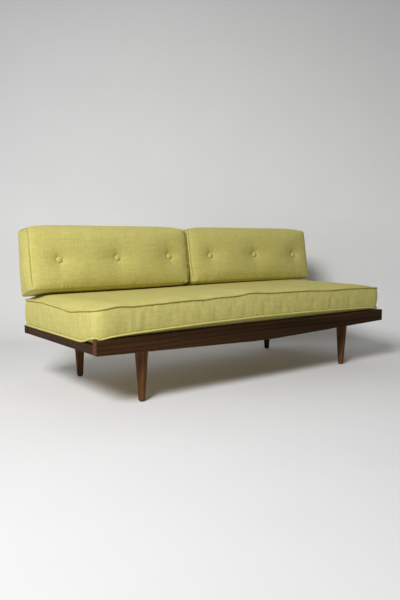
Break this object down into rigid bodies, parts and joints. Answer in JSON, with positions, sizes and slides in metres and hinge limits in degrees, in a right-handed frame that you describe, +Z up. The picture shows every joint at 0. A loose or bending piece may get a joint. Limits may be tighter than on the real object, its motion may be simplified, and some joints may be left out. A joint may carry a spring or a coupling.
{
  "type": "daybed",
  "caption": "Low daybed with a dark wood frame on turned tapered legs, a boxed seat mattress and buttoned back bolsters.",
  "frame": {"origin": "bottom centre of the overall box, on the floor: midway along the length, and midway between the front rail's face and the rearmost edge of the back supports", "axes": "+X along the length, to the right of someone who faces the daybed's front; +Y from the front rail towards the bolsters at the back; +Z up"},
  "size_m": [1.9638, 0.8304, 0.7927],
  "materials": {
    "walnut": "dark walnut, satin oil or lacquer",
    "slat_timber": "plain sanded hardwood, unfinished",
    "support_steel": "flat bar, satin black paint",
    "fastener_steel": "zinc plated",
    "nylon": "moulded, matt",
    "upholstery": "heathered lime-yellow plain weave"
  },
  "bodies": {
    "frame": {"back_support_left_inner": "support_steel", "back_support_left_outer": "support_steel", "back_support_right_inner": "support_steel", "back_support_right_outer": "support_steel", "corner_block_front_left": "slat_timber", "corner_block_front_right": "slat_timber", "corner_block_rear_left": "slat_timber", "corner_block_rear_right": "slat_timber", "front_ledger": "slat_timber", "front_rail": "walnut", "glide_front_left": "nylon", "glide_front_right": "nylon", "glide_rear_left": "nylon", "glide_rear_right": "nylon", "left_end_rail": "walnut", "left_leg_bearer": "slat_timber", "leg_bolt_front_left": "fastener_steel", "leg_bolt_front_right": "fastener_steel", "leg_bolt_rear_left": "fastener_steel", "leg_bolt_rear_right": "fastener_steel", "leg_front_left": "walnut", "leg_front_right": "walnut", "leg_plate_front_left": "fastener_steel", "leg_plate_front_right": "fastener_steel", "leg_plate_rear_left": "fastener_steel", "leg_plate_rear_right": "fastener_steel", "leg_rear_left": "walnut", "leg_rear_right": "walnut", "rear_ledger": "slat_timber", "rear_rail": "walnut", "right_end_rail": "walnut", "right_leg_bearer": "slat_timber", "slat_01": "slat_timber", "slat_02": "slat_timber", "slat_03": "slat_timber", "slat_04": "slat_timber", "slat_05": "slat_timber", "slat_06": "slat_timber", "slat_07": "slat_timber", "slat_08": "slat_timber", "slat_09": "slat_timber", "slat_10": "slat_timber", "slat_11": "slat_timber", "support_screw_left_inner_lower": "fastener_steel", "support_screw_left_inner_upper": "fastener_steel", "support_screw_left_outer_lower": "fastener_steel", "support_screw_left_outer_upper": "fastener_steel", "support_screw_right_inner_lower": "fastener_steel", "support_screw_right_inner_upper": "fastener_steel", "support_screw_right_outer_lower": "fastener_steel", "support_screw_right_outer_upper": "fastener_steel"},
    "mattress": {"mattress": "upholstery"},
    "left_bolster": {"left_bolster": "upholstery", "left_bolster_button_left": "upholstery", "left_bolster_button_middle": "upholstery", "left_bolster_button_right": "upholstery"},
    "right_bolster": {"right_bolster": "upholstery", "right_bolster_button_left": "upholstery", "right_bolster_button_middle": "upholstery", "right_bolster_button_right": "upholstery"}
  },
  "joints": [
    {"name": "mattress_lift", "type": "slide", "parent": "frame", "child": "mattress", "axis": [0, 0, 1], "range_m": [0, 0.3]},
    {"name": "left_bolster_lift", "type": "slide", "parent": "mattress", "child": "left_bolster", "axis": [0, 0, 1], "range_m": [0, 0.3]},
    {"name": "right_bolster_lift", "type": "slide", "parent": "mattress", "child": "right_bolster", "axis": [0, 0, 1], "range_m": [0, 0.3]}
  ]
}
